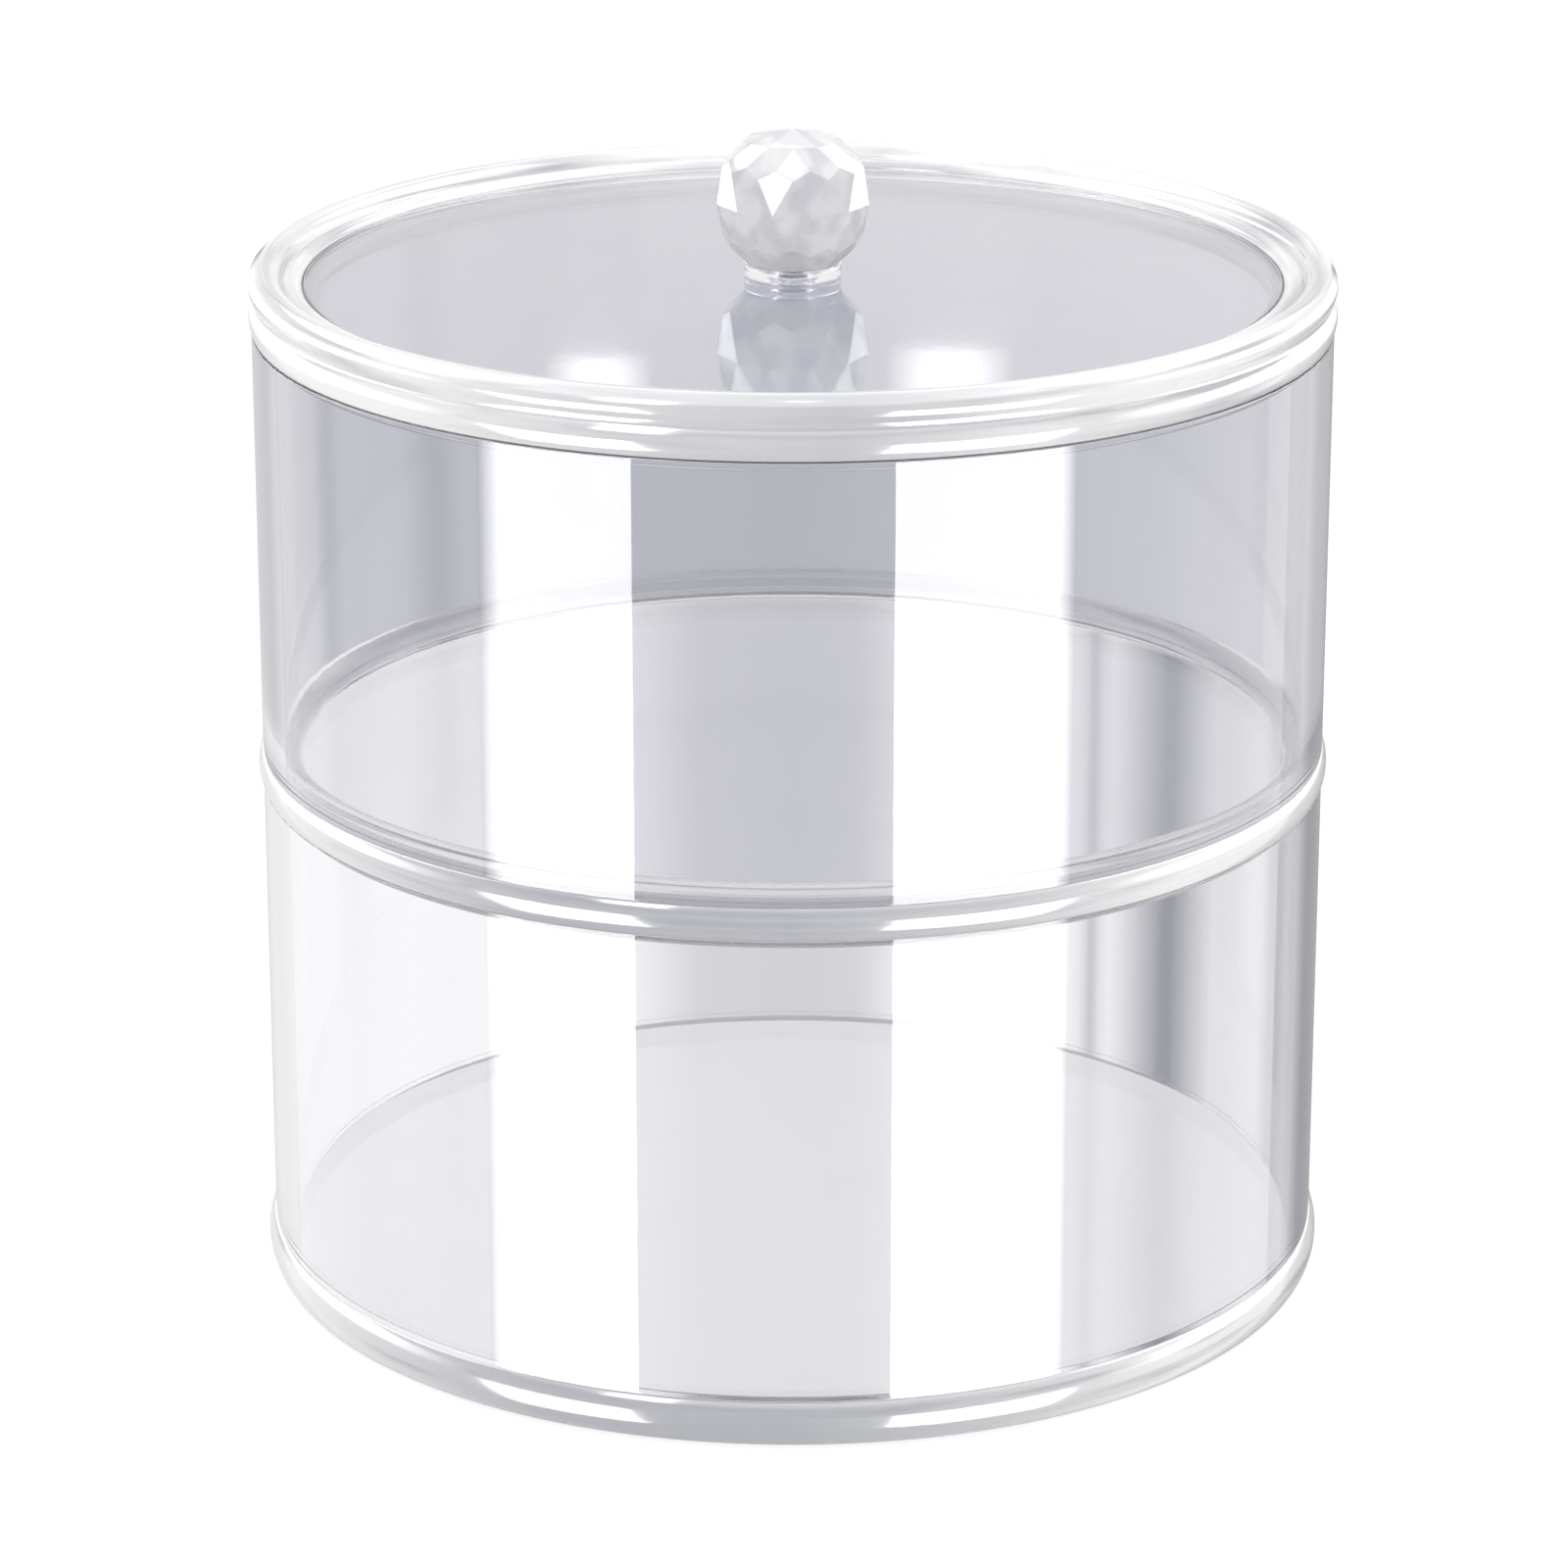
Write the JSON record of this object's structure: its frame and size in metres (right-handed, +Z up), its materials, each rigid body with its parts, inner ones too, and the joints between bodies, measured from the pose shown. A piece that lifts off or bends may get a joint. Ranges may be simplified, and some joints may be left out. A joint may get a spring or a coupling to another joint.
{
  "type": "round two-tier acrylic organizer",
  "caption": "Clear round stacking organizer for rolled belts, with a lift-off upper tier and a lift-off lid that has a faceted ball knob.",
  "frame": {"origin": "centre of the underside, where the organizer stands", "axes": "+Z up along the axis that every round piece shares; the object is the same all round, and -Y is the side seen in the picture"},
  "size_m": [0.1216, 0.1216, 0.1309],
  "materials": {
    "clear_sheet": "clear polished acrylic sheet",
    "clear_tube": "clear polished acrylic tube",
    "clear_moulded": "clear acrylic with soft rounded beads",
    "cut_crystal": "clear acrylic cut with flat facets"
  },
  "bodies": {
    "lower_tier": {"base_plate": "clear_sheet", "lower_wall": "clear_tube"},
    "upper_tier": {"upper_floor": "clear_sheet", "upper_wall": "clear_tube", "upper_foot_ring": "clear_moulded"},
    "lid": {"lid_rim": "clear_moulded", "lid_panel": "clear_sheet", "knob_collar": "clear_moulded", "knob_pin": "clear_moulded", "knob_ball": "cut_crystal"}
  },
  "joints": [
    {"name": "upper_tier_lift", "type": "slide", "parent": "lower_tier", "child": "upper_tier", "axis": [0, 0, 1], "range_m": [0, 0.08]},
    {"name": "lid_lift", "type": "slide", "parent": "upper_tier", "child": "lid", "axis": [0, 0, 1], "range_m": [0, 0.08]}
  ]
}
